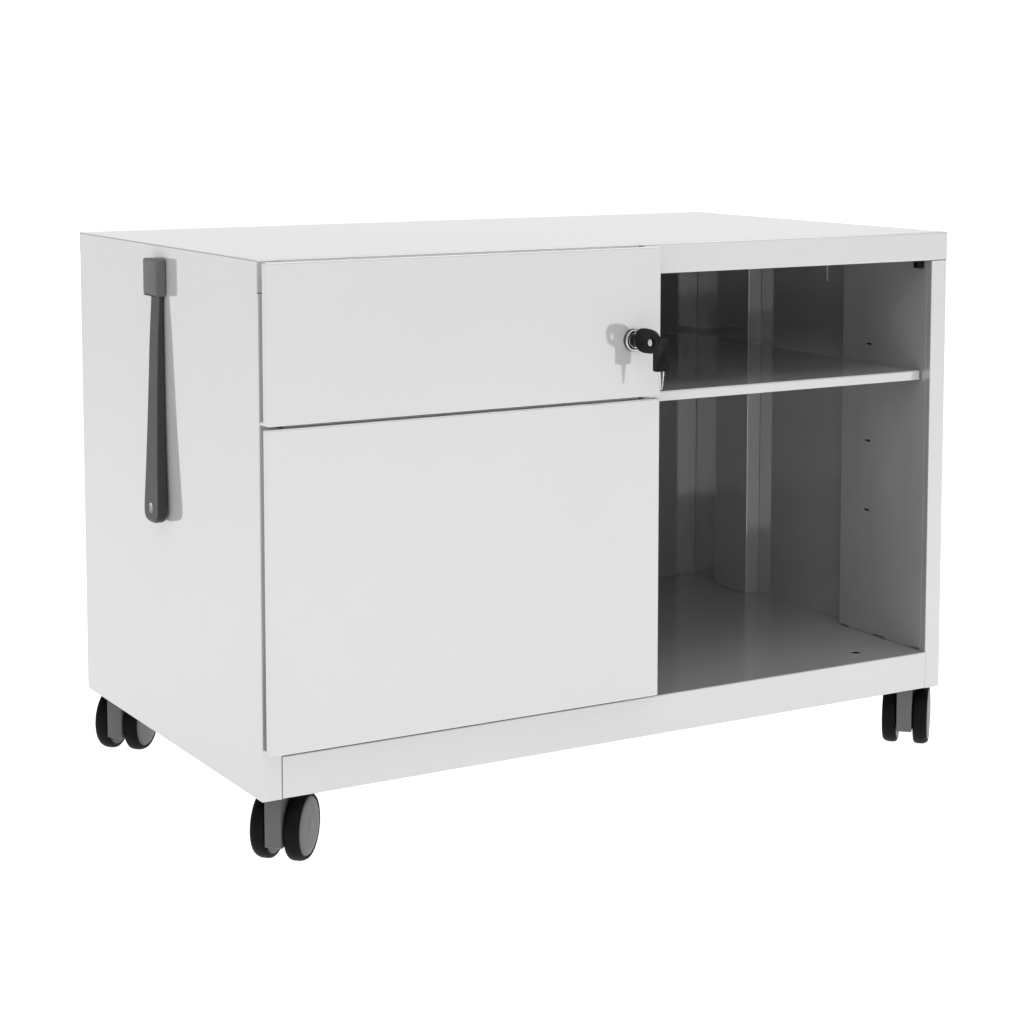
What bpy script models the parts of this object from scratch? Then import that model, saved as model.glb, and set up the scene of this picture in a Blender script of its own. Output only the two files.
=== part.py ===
"""Mobile metal filing caddy: two drawers on the left, an open bay with a shelf on the right.

Everything is placed in the carcass's own corner frame (front, left, lower edge of the skirt),
which an empty carries to the part's frame: +Z up, front towards -Y, origin on the floor under
the middle of the whole object.  All lengths are in metres.
"""
import math

import bmesh
import bpy
from mathutils import Matrix, Vector

# ---- Driving dimensions ----
WIDTH = 0.800           # carcass, left to right
DEPTH = 0.462           # carcass, front flanges to rear flanges
HEIGHT = 0.494          # carcass, skirt edge to top
WHEEL_DIAMETER = 0.065
SKIRT_HEIGHT = 0.070    # floor to the skirt's lower edge
SHEET = 0.001           # carcass and drawer sheet steel
GAP = 0.0003            # between faces that touch
FLANGE = 0.020          # width of the folded front and rear flanges
RETURN = 0.008          # inward fold behind a flange
PLINTH = 0.040          # skirt edge to the floor of the bays
FASCIA = 0.030          # front fold of the top
FASCIA_RETURN = 0.012
REAR_FOLD = 0.020       # rear fold of the top
POST_DEPTH = 0.148      # front post, front plane to its rear web
REAR_POST = (0.327, 0.392)
SHELF_TOP = 0.345
SHELF_LIP = 0.010
SHELF_FRONT = 0.015
SHELF_REAR = 0.445
SLOT_HEIGHTS = (0.179, 0.257, 0.365)
SLOT_PLACE = 0.103      # shelf slots and the front clips, from the front
SLOT_SIZE = (0.0090, 0.0022)
CLIP_REAR = 0.360       # rear clips, from the front
FLOOR_HOLE = (0.714, 0.037, 0.0055)     # across, along, radius
FRONT_WIDTH = 0.420     # drawer fronts
FRONT_PROUD = 0.018     # drawer fronts ahead of the carcass
GRIP_DEPTH = 0.009      # finger groove behind each front's side edge
BOX_DEPTH = 0.405
DRAWERS = {             # lower and upper edge of the front, of the box, then the slides' centre
    "upper": (0.3460, 0.4925, 0.3560, 0.4460, 0.3750),
    "lower": (0.0460, 0.3435, 0.0540, 0.3000, 0.1800),
}
CATCHES = {"upper": 0.436, "lower": 0.285}      # height of each drawer's locking stud
BAR = (0.3981, 0.3997, 0.0100, 0.0200)  # lock bar: left, right, front, rear
SLIDE_SHEET = 0.0012
SLIDE_FRONT = 0.022
LOCK = (0.3878, 0.4027)  # lock axis, across and up
KEY_EYE = (-0.0514, 0.4033)
HANDLE_MIDDLE = 0.2325  # pull handle, along the side panel
HANDLE_PROUD = 0.0135
HANDLE_END = 0.2200
BRACKET = (0.0345, 0.0360, 0.0113)      # along, tall, proud
BRACKET_LOW = 0.4445
BRACKET_WALL = 0.0012
PIVOT = (0.026, 0.025)  # castor stem in from each corner
TRAIL = 0.020
CASTOR_TURN = 45.0      # degrees, as the caddy was last rolled
TYRE_SHOULDER = (0.0313, 0.0225)  # radius, and distance out from the castor's middle
WHEEL_STEPS = 32
KEY_REACH = 0.0642      # key head's end ahead of the carcass

# ---- Worked out from them ----
BAY_LEFT = FRONT_WIDTH
BAY_RIGHT = WIDTH - FLANGE
LINER = FRONT_WIDTH - FLANGE
SKIN_IN = SHEET + GAP
TOP_UNDER = HEIGHT - SHEET - GAP
FASCIA_UNDER = HEIGHT - FASCIA - GAP
BACK_FRONT = DEPTH - 2 * SHEET - GAP
WHEEL_RADIUS = WHEEL_DIAMETER / 2
FACET = math.cos(math.pi / WHEEL_STEPS)
AXLE_HEIGHT = WHEEL_RADIUS * FACET - SKIRT_HEIGHT
CASTOR_REACH = (TRAIL + TYRE_SHOULDER[0] * FACET + TYRE_SHOULDER[1]) * math.cos(math.radians(CASTOR_TURN))
RIGHT_MOST = WIDTH - PIVOT[0] + CASTOR_REACH
REAR_MOST = DEPTH - PIVOT[1] + CASTOR_REACH
ABOVE = HEIGHT + SHEET                 # past the top of everything, for cutters
CORNER = Vector((-(RIGHT_MOST - HANDLE_PROUD) / 2, -(REAR_MOST - KEY_REACH) / 2, SKIRT_HEIGHT))


# ---- Helpers ----
def clear_scene():
    for thing in list(bpy.data.objects):
        bpy.data.objects.remove(thing, do_unlink=True)


def new_collection(name):
    collection = bpy.data.collections.new(name)
    bpy.context.scene.collection.children.link(collection)
    return collection


def new_material(name, colour, roughness, metallic=0.0):
    material = bpy.data.materials.new(name)
    material.use_nodes = True
    shader = material.node_tree.nodes["Principled BSDF"]
    shader.inputs["Base Color"].default_value = (*colour, 1.0)
    shader.inputs["Roughness"].default_value = roughness
    shader.inputs["Metallic"].default_value = metallic
    return material


def new_object(name, mesh, material=None, place=(0, 0, 0), parent=None, collection=None):
    thing = bpy.data.objects.new(name, mesh)
    (collection or parts).objects.link(thing)
    if material:
        mesh.materials.append(material)
    thing.location = place
    thing.parent = parent or corner
    return thing


def box_mesh(low, high):
    """A closed box between two corners."""
    size = [b - a for a, b in zip(low, high)]
    middle = [(a + b) / 2 for a, b in zip(low, high)]
    shape = bmesh.new()
    bmesh.ops.create_cube(shape, size=1.0)
    bmesh.ops.transform(shape, matrix=Matrix.Translation(middle) @ Matrix.Diagonal((*size, 1)), verts=shape.verts)
    mesh = bpy.data.meshes.new("box")
    shape.to_mesh(mesh)
    shape.free()
    return mesh


def box(name, low, high, material, **options):
    return new_object(name, box_mesh(low, high), material, **options)


def pan_mesh(low, high, open_side):
    """The five faces of a box that is open towards one axis direction, such as (0, 0, 1)."""
    mesh = box_mesh(low, high)
    shape = bmesh.new()
    shape.from_mesh(mesh)
    opening = [face for face in shape.faces if face.normal.dot(Vector(open_side)) > 0.9]
    bmesh.ops.delete(shape, geom=opening, context="FACES")
    shape.to_mesh(mesh)
    shape.free()
    return mesh


def thicken(thing, thickness):
    """Give an open sheet its thickness, inwards from the drawn faces."""
    solid = thing.modifiers.new("Sheet", "SOLIDIFY")
    solid.thickness = thickness
    solid.offset = -1.0
    solid.use_even_offset = True
    return thing


def pan(name, low, high, open_side, material, **options):
    return thicken(new_object(name, pan_mesh(low, high, open_side), material, **options), SHEET)


AXES = {"X": (1, 2, 0), "Y": (2, 0, 1), "Z": (0, 1, 2)}


def folded(name, outline, axis, low, high, material, thickness=SHEET, **options):
    """A sheet folded along one axis.  Its outline keeps the material on its left."""
    first, second, along = AXES[axis]
    shape = bmesh.new()
    corners = []
    for point in outline:
        spot = [0.0, 0.0, 0.0]
        spot[first], spot[second], spot[along] = point[0], point[1], low
        corners.append(shape.verts.new(spot))
    edges = [shape.edges.new(pair) for pair in zip(corners, corners[1:])]
    grown = bmesh.ops.extrude_edge_only(shape, edges=edges)["geom"]
    travel = [0.0, 0.0, 0.0]
    travel[along] = high - low
    swept = [item for item in grown if isinstance(item, bmesh.types.BMVert)]
    bmesh.ops.translate(shape, verts=swept, vec=travel)
    bmesh.ops.recalc_face_normals(shape, faces=shape.faces)
    run = Vector([b - a for a, b in zip(corners[0].co, corners[1].co)])
    if edges[0].link_faces[0].normal.dot(run.cross(Vector(travel))) < 0:
        bmesh.ops.reverse_faces(shape, faces=shape.faces)
    mesh = bpy.data.meshes.new(name)
    shape.to_mesh(mesh)
    shape.free()
    return thicken(new_object(name, mesh, material, **options), thickness)


def mirrored(outline, total, across=0):
    """The outline reflected about total / 2, reversed so that its material stays on the left."""
    flipped = []
    for point in reversed(outline):
        place = list(point)
        place[across] = total - place[across]
        flipped.append(tuple(place))
    return flipped


def turned_mesh(name, profile, steps):
    """A profile of (radius, height) pairs, run down its outer side, turned about Z."""
    shape = bmesh.new()
    corners = [shape.verts.new((radius, 0, height)) for radius, height in profile]
    for pair in zip(corners, corners[1:]):
        shape.edges.new(pair)
    mesh = bpy.data.meshes.new(name)
    shape.to_mesh(mesh)
    shape.free()
    carrier = new_object("turning", mesh, collection=guides)
    screw = carrier.modifiers.new("Screw", "SCREW")
    screw.steps = steps
    screw.render_steps = steps
    screw.use_merge_vertices = True
    screw.merge_threshold = 0.00001
    solid = taken_off(carrier)
    solid.name = name
    solid.shade_smooth()
    solid.set_sharp_from_angle(angle=math.radians(35))
    return solid


def flat_mesh(name, outline, thickness):
    """A flat closed outline in X and Y, extruded evenly about Z = 0."""
    curve = bpy.data.curves.new(name, "CURVE")
    curve.dimensions = "2D"
    curve.fill_mode = "BOTH"
    curve.extrude = thickness / 2
    spline = curve.splines.new("POLY")
    spline.points.add(len(outline) - 1)
    for point, spot in zip(spline.points, outline):
        point.co = (spot[0], spot[1], 0, 1)
    spline.use_cyclic_u = True
    carrier = new_object("outline", curve, collection=guides)
    solid = taken_off(carrier)
    shape = bmesh.new()
    shape.from_mesh(solid)
    bmesh.ops.remove_doubles(shape, verts=shape.verts, dist=0.00001)
    bmesh.ops.recalc_face_normals(shape, faces=shape.faces)
    shape.to_mesh(solid)
    shape.free()
    return solid


def arc(centre, radius, start, end, steps):
    """Points along an arc, angles in degrees."""
    points = []
    for step in range(steps + 1):
        angle = math.radians(start + (end - start) * step / steps)
        points.append((centre[0] + radius * math.cos(angle), centre[1] + radius * math.sin(angle)))
    return points


def turn(mesh, axis, degrees):
    mesh.transform(Matrix.Rotation(math.radians(degrees), 4, axis))
    return mesh


def moved(mesh, place):
    mesh.transform(Matrix.Translation(place))
    return mesh


def taken_off(thing):
    """The finished mesh of a helper object, which is then removed."""
    mesh = bpy.data.meshes.new_from_object(thing.evaluated_get(bpy.context.evaluated_depsgraph_get()))
    bpy.data.objects.remove(thing, do_unlink=True)
    return mesh


def rod_mesh(radius, low, high, steps=16):
    return turned_mesh("rod", [(0, high), (radius, high), (radius, low), (0, low)], steps)


def boolean(thing, mesh, operation):
    """Join a mesh to an object, or cut it away, both given in the object's own frame."""
    tool = new_object(thing.name + "_" + operation.lower(), mesh, parent=thing, collection=guides)
    tool.hide_render = True
    tool.display_type = "WIRE"
    step = thing.modifiers.new(operation.title(), "BOOLEAN")
    step.operation = operation
    step.object = tool


def cut(thing, mesh):
    boolean(thing, mesh, "DIFFERENCE")


def join(thing, mesh):
    boolean(thing, mesh, "UNION")


clear_scene()
parts = new_collection("filing_caddy")
guides = new_collection("cutters")
corner = bpy.data.objects.new("carcass_corner", None)
parts.objects.link(corner)
corner.location = CORNER

white = new_material("white_enamel", (0.80, 0.80, 0.80), 0.20)
drawer_steel = new_material("grey_enamel", (0.55, 0.55, 0.56), 0.35)
zinc = new_material("zinc_steel", (0.60, 0.61, 0.63), 0.35, 1.0)
chrome = new_material("chrome", (0.78, 0.78, 0.80), 0.12, 1.0)
black = new_material("black_plastic", (0.02, 0.02, 0.02), 0.40)
grey = new_material("grey_plastic", (0.16, 0.16, 0.17), 0.45)
tyre_black = new_material("tyre_black", (0.015, 0.015, 0.016), 0.55)


# ---- Side panels: skin with front and rear flanges, stepped back behind the fascia's ends ----
LEFT_SIDE = [(FLANGE, DEPTH), (0, DEPTH), (0, 0), (FLANGE, 0), (FLANGE, RETURN)]
FLANGE_INNER = FLANGE + SHEET
STEPS = [                # cut from the left side panel, and mirrored from the right one
    ((-SHEET, -SHEET, FASCIA_UNDER), (2 * SHEET, SHEET + GAP, ABOVE)),
    ((1.5 * SHEET, -SHEET, FASCIA_UNDER), (FLANGE_INNER, FASCIA_RETURN, ABOVE)),
    ((-SHEET, DEPTH - SHEET - GAP, HEIGHT - REAR_FOLD - GAP), (FLANGE_INNER, DEPTH + SHEET, ABOVE)),
]
left_side = folded("left_side_panel", LEFT_SIDE, "Z", 0, TOP_UNDER, white)
right_side = folded("right_side_panel", mirrored(LEFT_SIDE, WIDTH), "Z", 0, TOP_UNDER, white)
for low, high in STEPS:
    cut(left_side, box_mesh(low, high))
    cut(right_side, box_mesh((WIDTH - high[0], *low[1:]), (WIDTH - low[0], *high[1:])))

# ---- Top: one sheet folded down at the front into the fascia, and at the rear ----
TOP = [(DEPTH, HEIGHT - REAR_FOLD), (DEPTH, HEIGHT), (0, HEIGHT), (0, HEIGHT - FASCIA), (FASCIA_RETURN, HEIGHT - FASCIA)]
top_panel = folded("top_panel", TOP, "X", 0, WIDTH, white)
for start in (-SHEET, WIDTH - SKIN_IN):
    cut(top_panel, box_mesh((start, SHEET + GAP, HEIGHT - FASCIA - SHEET),
                            (start + SHEET + SKIN_IN, FASCIA_RETURN + SHEET, HEIGHT - FASCIA + 2 * SHEET)))

# ---- Base: the floor of both bays, folded down into the front and rear plinths ----
BASE = [(DEPTH - RETURN, 0), (DEPTH, 0), (DEPTH, PLINTH), (0, PLINTH), (0, 0), (RETURN, 0)]
base_panel = folded("base_panel", BASE, "X", SKIN_IN, WIDTH - SKIN_IN, white)
for low, high in ((0, FLANGE + GAP), (WIDTH - FLANGE - GAP, WIDTH)):
    for front, rear in ((-SHEET, RETURN + GAP), (DEPTH - RETURN - GAP, DEPTH + SHEET)):
        cut(base_panel, box_mesh((low, front, -SHEET), (high, rear, PLINTH + SHEET)))
hole_x, hole_y, hole_radius = FLOOR_HOLE
cut(base_panel, moved(rod_mesh(hole_radius, PLINTH - 2 * SHEET, PLINTH + SHEET, 12), (hole_x, hole_y, 0)))

# ---- Back panel, inside the rear flanges ----
box("back_panel", (SKIN_IN, BACK_FRONT, PLINTH + GAP), (WIDTH - SKIN_IN, BACK_FRONT + SHEET, TOP_UNDER), white)

# ---- Divider: a skin facing the open bay, and a liner that carries the drawer slides ----
DIVIDER_REAR = BACK_FRONT - GAP
DIVIDER = [(LINER, RETURN), (LINER, 0), (BAY_LEFT, 0), (BAY_LEFT, DIVIDER_REAR), (LINER, DIVIDER_REAR)]


def clear_of_fascia(thing):
    cut(thing, box_mesh((-SHEET, -SHEET, FASCIA_UNDER), (WIDTH + SHEET, FASCIA_RETURN + GAP, ABOVE)))


def shelf_slots(thing, face):
    long, tall = SLOT_SIZE
    for height in SLOT_HEIGHTS:
        cut(thing, box_mesh((face - 3 * SHEET, SLOT_PLACE - long / 2, height - tall / 2),
                            (face + 3 * SHEET, SLOT_PLACE + long / 2, height + tall / 2)))


divider_panel = folded("divider_panel", DIVIDER, "Z", PLINTH + GAP, TOP_UNDER, white)
clear_of_fascia(divider_panel)
shelf_slots(divider_panel, BAY_LEFT)
divider_liner = box("divider_liner", (LINER, RETURN + GAP, PLINTH + GAP),
                    (LINER + SHEET, DIVIDER_REAR - SHEET - GAP, FASCIA_UNDER), drawer_steel)
GUIDE_ROOM = 0.0015      # between the lock bar and the two bridges that guide it
GUIDE_HEIGHTS = (0.120, 0.330)
GUIDE_TALL = 0.012
guide_left, guide_root = BAR[0] - GUIDE_ROOM, LINER + SHEET / 2
guide_front, guide_rear = BAR[2] - GUIDE_ROOM, BAR[3] + GUIDE_ROOM
GUIDE = [(guide_root, guide_rear), (guide_left, guide_rear), (guide_left, guide_front), (guide_root, guide_front)]
for height in GUIDE_HEIGHTS:
    join(divider_liner, taken_off(folded("guide", GUIDE, "Z", height, height + GUIDE_TALL, None, collection=guides)))

# ---- Posts inside both side panels: the bay's shelf slots and the drawers' slides ----
SKIN_FACE = WIDTH - 2 * SHEET - GAP
POST_TAIL = 0.015        # the front post's rear fold, flat against the side panel
FRONT_POST = [(SKIN_FACE, POST_DEPTH + POST_TAIL), (SKIN_FACE, POST_DEPTH),
              (BAY_RIGHT, POST_DEPTH), (BAY_RIGHT, RETURN + GAP)]
REAR_POST_LINE = [(WIDTH - SKIN_IN, REAR_POST[1]), (BAY_RIGHT, REAR_POST[1]),
                  (BAY_RIGHT, REAR_POST[0]), (WIDTH - SKIN_IN, REAR_POST[0])]
for side in ("left", "right"):
    for place, line in (("front", FRONT_POST), ("rear", REAR_POST_LINE)):
        outline = line if side == "right" else mirrored(line, WIDTH)
        post = folded(f"{place}_post_{side}", outline, "Z", PLINTH + GAP, TOP_UNDER, white)
        if place == "front":
            clear_of_fascia(post)
            shelf_slots(post, BAY_RIGHT if side == "right" else FLANGE)

# ---- Shelf: a shallow tray upside down, on four hooked clips ----
SHELF_ROOM = 0.0015      # at each side
pan("shelf", (BAY_LEFT + SHELF_ROOM, SHELF_FRONT, SHELF_TOP - SHELF_LIP),
    (BAY_RIGHT - SHELF_ROOM, SHELF_REAR, SHELF_TOP), (0, 0, -1), white)
CLIP_TOP = SHELF_TOP - SHELF_LIP - GAP
CLIP_ARM, CLIP_DROP, CLIP_WIDTH = 0.008, 0.012, 0.014
CLIP = [(CLIP_TOP, BAY_RIGHT - GAP - CLIP_ARM), (CLIP_TOP, BAY_RIGHT - GAP), (CLIP_TOP - CLIP_DROP, BAY_RIGHT - GAP)]
for side, outline in (("right", CLIP), ("left", mirrored(CLIP, BAY_LEFT + BAY_RIGHT, across=1))):
    for place, middle in (("front", SLOT_PLACE), ("rear", CLIP_REAR)):
        folded(f"shelf_clip_{place}_{side}", outline, "Y", middle - CLIP_WIDTH / 2, middle + CLIP_WIDTH / 2,
               zinc, SLIDE_SHEET)

# ---- Rubber stop under the fascia's right end ----
STOP_FRONT, STOP_SIZE, STOP_RISE = 0.0125, (0.0087, 0.0080, 0.0130), 0.004
stop_top = HEIGHT - FASCIA + STOP_RISE
box("corner_stop", (BAY_RIGHT - GAP - STOP_SIZE[0], STOP_FRONT, stop_top - STOP_SIZE[2]),
    (BAY_RIGHT - GAP, STOP_FRONT + STOP_SIZE[1], stop_top), black)

# ---- Rails under the floor, which the castors are screwed to ----
RAIL_OUTER, RAIL_INNER, RAIL_UNDER = 0.004, 0.048, 0.010
RAIL_TOP = PLINTH - SHEET - GAP
RAIL_LINE = [(RAIL_TOP, RAIL_INNER), (RAIL_UNDER, RAIL_INNER), (RAIL_UNDER, RAIL_OUTER), (RAIL_TOP, RAIL_OUTER)]
for side, outline in (("left", RAIL_LINE), ("right", mirrored(RAIL_LINE, WIDTH, across=1))):
    folded(f"castor_rail_{side}", outline, "Y", RETURN + SHEET, DEPTH - RETURN - SHEET, zinc)

# ---- Drawers: folded front with a grip groove behind each side edge, box, and inner front ----
FRONT_LINE = [(FLANGE, -GRIP_DEPTH), (0, -GRIP_DEPTH), (0, -FRONT_PROUD),
              (FRONT_WIDTH, -FRONT_PROUD), (FRONT_WIDTH, -GRIP_DEPTH), (LINER, -GRIP_DEPTH)]
BOTTOM_SHELF = 0.004     # the front's lower edge, folded back to the carcass
BOX_SIDE = 0.033
STUD_RADIUS, STUD_LENGTH, STUD_PLACE = 0.0020, 0.0075, 0.0155


def drawer(name, front_low, front_high, box_low, box_high, catch):
    front = folded(f"{name}_front", FRONT_LINE, "Z", front_low, front_high, white)
    join(front, box_mesh((0, -FRONT_PROUD, front_low), (FRONT_WIDTH, -SHEET, front_low + BOTTOM_SHELF)))
    join(front, box_mesh((0, -FRONT_PROUD, front_high - SHEET), (FRONT_WIDTH, -GRIP_DEPTH, front_high)))
    tray = pan(f"{name}_box", (BOX_SIDE, -SHEET, box_low), (FRONT_WIDTH - BOX_SIDE, BOX_DEPTH, box_high),
               (0, 0, 1), drawer_steel)
    join(tray, taken_off(pan("inner", (FLANGE + GAP, -GRIP_DEPTH + GAP, front_low + BOTTOM_SHELF + GAP),
                             (LINER - GAP, -GAP, front_high - SHEET - GAP), (0, -1, 0), None, collection=guides)))
    stud = turn(rod_mesh(STUD_RADIUS, 0, STUD_LENGTH, 10), "Y", 90)
    join(tray, moved(stud, (FRONT_WIDTH - BOX_SIDE - SHEET, STUD_PLACE, catch)))
    return front, tray


upper_front, upper_box = drawer("upper", *DRAWERS["upper"][:4], CATCHES["upper"])
drawer("lower", *DRAWERS["lower"][:4], CATCHES["lower"])

# The lock passes through the upper front, its inner front and the corner of its box.
LOCK_BORE = 0.0098
RECESS = (0.0130, 0.0115, 0.0130)       # left of the lock axis, right of it, above and below it
for thing in (upper_front, upper_box):
    bore = turn(rod_mesh(LOCK_BORE, -0.008, 0.030, 20), "X", 90)
    cut(thing, moved(bore, (LOCK[0], 0, LOCK[1])))
cut(upper_box, box_mesh((LOCK[0] - RECESS[0], -0.0002, LOCK[1] - RECESS[2]),
                        (LOCK[0] + RECESS[1], 0.0130, LOCK[1] + RECESS[2])))

# ---- Telescopic slides: outer on the carcass, a middle member, inner on the drawer ----
SLIDES = {               # half height, web, lip and length of each; the inner one faces outwards
    "outer": (0.0225, 0.0203, 0.0300, 0.400),
    "middle": (0.0195, 0.0222, 0.0312, 0.390),
    "inner": (0.0165, 0.0327, 0.0245, 0.382),
}
for level in DRAWERS:
    centre = DRAWERS[level][4]
    for member, (half, web, lip, length) in SLIDES.items():
        line = [(centre - half, lip), (centre - half, web), (centre + half, web), (centre + half, lip)]
        if member == "inner":
            line.reverse()
        for side, outline in (("left", line), ("right", mirrored(line, FRONT_WIDTH, across=1))):
            folded(f"{level}_slide_{member}_{side}", outline, "Y", SLIDE_FRONT, SLIDE_FRONT + length, zinc, SLIDE_SHEET)

# ---- Lock: bezel and barrel, plug with keyway, cam with its drive pin ----
lock_centre = bpy.data.objects.new("lock_axis", None)
parts.objects.link(lock_centre)
lock_centre.parent = corner
lock_centre.location = (LOCK[0], 0, LOCK[1])
BEZEL_FACE, BEZEL_RADIUS, BEZEL_CHAMFER = 0.0230, 0.0110, 0.0010
BARREL_RADIUS, BARREL_BORE, BARREL_REAR = 0.0094, 0.0066, -0.0035
PLUG_RADIUS, PLUG_FACE, PLUG_REAR = 0.0062, 0.0222, -0.0045
KEYWAY = (0.0014, 0.0044)               # half width, half height
CAM_RADIUS, CAM_FRONT, CAM_REAR = 0.0088, -0.0048, -0.0068
CAM_PIN, CAM_PIN_RADIUS, CAM_PIN_REAR = 0.0055, 0.0015, -0.0120


def facing_front(mesh):
    """Turn a shape made along Z so that its top faces the front."""
    return turn(mesh, "X", 90)


barrel = [(BARREL_BORE, BEZEL_FACE), (BEZEL_RADIUS - BEZEL_CHAMFER, BEZEL_FACE),
          (BEZEL_RADIUS, BEZEL_FACE - BEZEL_CHAMFER), (BEZEL_RADIUS, FRONT_PROUD + GAP),
          (BARREL_RADIUS, FRONT_PROUD + GAP), (BARREL_RADIUS, BARREL_REAR), (BARREL_BORE, BARREL_REAR),
          (BARREL_BORE, BEZEL_FACE)]
new_object("lock_barrel", facing_front(turned_mesh("barrel", barrel, 24)), chrome, parent=lock_centre)
lock_plug = new_object("lock_plug", facing_front(rod_mesh(PLUG_RADIUS, PLUG_REAR, PLUG_FACE, 20)), chrome,
                       parent=lock_centre)
cut(lock_plug, box_mesh((-KEYWAY[0], -0.030, -KEYWAY[1]), (KEYWAY[0], -0.0030, KEYWAY[1])))
lock_cam = new_object("lock_cam", facing_front(rod_mesh(CAM_RADIUS, CAM_REAR, CAM_FRONT, 20)), zinc,
                      parent=lock_centre)
pin_place = CAM_PIN * math.sqrt(0.5)
pin = facing_front(rod_mesh(CAM_PIN_RADIUS, CAM_PIN_REAR, CAM_REAR + SHEET, 10))
join(lock_cam, moved(pin, (pin_place, 0, pin_place)))

# ---- Lock bar, moved by the cam pin; its hooks drop in front of the drawers' studs ----
BAR_ENDS = (0.062, 0.455)
HOOK_LEFT, HOOK_DEEP, HOOK_TALL, HOOK_RISE = 0.3885, 0.0030, 0.0080, 0.0040
TAB_LEFT, TAB_DEEP, TAB_TALL, TAB_ROOM = 0.3905, 0.0035, 0.0020, 0.0006
lock_bar = box("lock_bar", (BAR[0], BAR[2], BAR_ENDS[0]), (BAR[1], BAR[3], BAR_ENDS[1]), zinc)
for height in CATCHES.values():
    hook = height + HOOK_RISE
    join(lock_bar, box_mesh((HOOK_LEFT, BAR[2], hook), (BAR[0] + SHEET, BAR[2] + HOOK_DEEP, hook + HOOK_TALL)))
pin_height = LOCK[1] + pin_place
tab_gap = CAM_PIN_RADIUS + TAB_ROOM
for low in (pin_height + tab_gap, pin_height - tab_gap - TAB_TALL):
    join(lock_bar, box_mesh((TAB_LEFT, BAR[2], low), (BAR[0] + SHEET, BAR[2] + TAB_DEEP, low + TAB_TALL)))

# ---- Keys: one in the lock with an oval head, a spare that hangs from its rivet ----
key_axis = bpy.data.objects.new("key_axis", None)
parts.objects.link(key_axis)
key_axis.parent = corner
key_axis.location = (LOCK[0], *KEY_EYE)
HEAD_RADIUS, HEAD_STRAIGHT, HEAD_THICK = 0.0125, 0.0150, 0.0034
HEAD_MIDDLE = (-0.0517, KEY_EYE[1] + 0.0008)
BLADE = (0.0010, 0.0040)                # half thickness, half height
BLADE_ENDS = (-0.0260, -0.0045)
EYE_RADIUS = 0.0018
rounds = (arc((0, 0), HEAD_RADIUS, -90, 90, 8) + arc((-HEAD_STRAIGHT, 0), HEAD_RADIUS, 90, 270, 8))
head = moved(turn(turn(flat_mesh("head", rounds, HEAD_THICK), "Z", -90), "Y", 90), (0, *HEAD_MIDDLE))
key = new_object("key", head, black, place=(LOCK[0], 0, 0))
join(key, box_mesh((-BLADE[0], BLADE_ENDS[0], LOCK[1] - BLADE[1]), (BLADE[0], BLADE_ENDS[1], LOCK[1] + BLADE[1])))
cut(key, moved(turn(rod_mesh(EYE_RADIUS, -0.004, 0.004, 10), "Y", 90), (0, *KEY_EYE)))
rivet = [                # radius, and distance to the left of the key's middle
    (0, 0.0027), (0.0034, 0.0027), (0.0034, 0.0020), (0.0014, 0.0020), (0.0014, -0.0056),
    (0.0026, -0.0056), (0.0026, -0.0062), (0, -0.0062)]
new_object("key_rivet", turn(turned_mesh("rivet", rivet, 12), "Y", -90), chrome, parent=key_axis)
SPARE_LEFT, SPARE_RIGHT, SPARE_HALF = 0.0020, 0.0186, 0.0017
spare = new_object("spare_key", turn(rod_mesh(0.0036, SPARE_LEFT, 0.0053, 12), "Y", 90), black, parent=key_axis)
for low, high in (       # grip, its shoulder beside the eye, blade
        ((SPARE_LEFT, -SPARE_HALF, -0.0285), (SPARE_RIGHT, SPARE_HALF, -0.0030)),
        ((0.0066, -SPARE_HALF, -0.0040), (SPARE_RIGHT, SPARE_HALF, 0.0035)),
        ((0.0075, -BLADE[0], -0.0480), (0.0135, BLADE[0], -0.0280))):
    join(spare, box_mesh(low, high))
cut(spare, turn(rod_mesh(EYE_RADIUS, -0.001, 0.0063, 12), "Y", 90))

# ---- Pull handle: a moulded strap that swings out of the bracket on the left side ----
STRAP_ROOM = 0.0130      # half width of the bracket's cavity
CAVITY_TALL = 0.0100
bracket = box("handle_bracket", (-BRACKET[2], HANDLE_MIDDLE - BRACKET[0] / 2, BRACKET_LOW),
              (-GAP, HANDLE_MIDDLE + BRACKET[0] / 2, BRACKET_LOW + BRACKET[1]), grey)
cut(bracket, box_mesh((-BRACKET[2] + BRACKET_WALL, HANDLE_MIDDLE - STRAP_ROOM, BRACKET_LOW - SHEET),
                      (0, HANDLE_MIDDLE + STRAP_ROOM, BRACKET_LOW + CAVITY_TALL)))
HANDLE_PIVOT = (-0.0045, BRACKET_LOW + 0.0020)
STRAP_TOP = HANDLE_PIVOT[1] + 0.0024
STRAP_HALF = 0.0183                    # half width at the flared end
STRAP_NECK = 0.0116                    # half width at the bracket
STRAP_BACK = (0.0012, 0.0021)          # back face ahead of the panel: at the bracket, and added at the end
STRAP_FACE = 0.0057                    # outer face ahead of the panel at the bracket
END_CENTRE = HANDLE_END + 0.0130
END_SQUASH = 0.71                      # the end's arc is this much flatter than a circle
SLIT = (0.0016, 0.008, 0.020)          # half width, lower and upper edge above the end


def strap_half_width(height):
    """Half the strap's width: slim at the top, flaring over the lower part."""
    share = (BRACKET_LOW - height) / (BRACKET_LOW - HANDLE_END - STRAP_HALF)
    return STRAP_NECK + (STRAP_HALF - STRAP_NECK) * max(0.0, share) ** 2.5


def strap_outline():
    levels = [STRAP_TOP, 0.43, 0.38, 0.34, 0.30, 0.27, 0.25, HANDLE_END + STRAP_HALF]
    right = [(strap_half_width(level), level) for level in levels]
    end = [(x, END_CENTRE + (z - END_CENTRE) * END_SQUASH)
           for x, z in arc((0, END_CENTRE), STRAP_HALF, -12, -168, 10)]
    left = [(-x, z) for x, z in reversed(right)]
    return right + end + left


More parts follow.
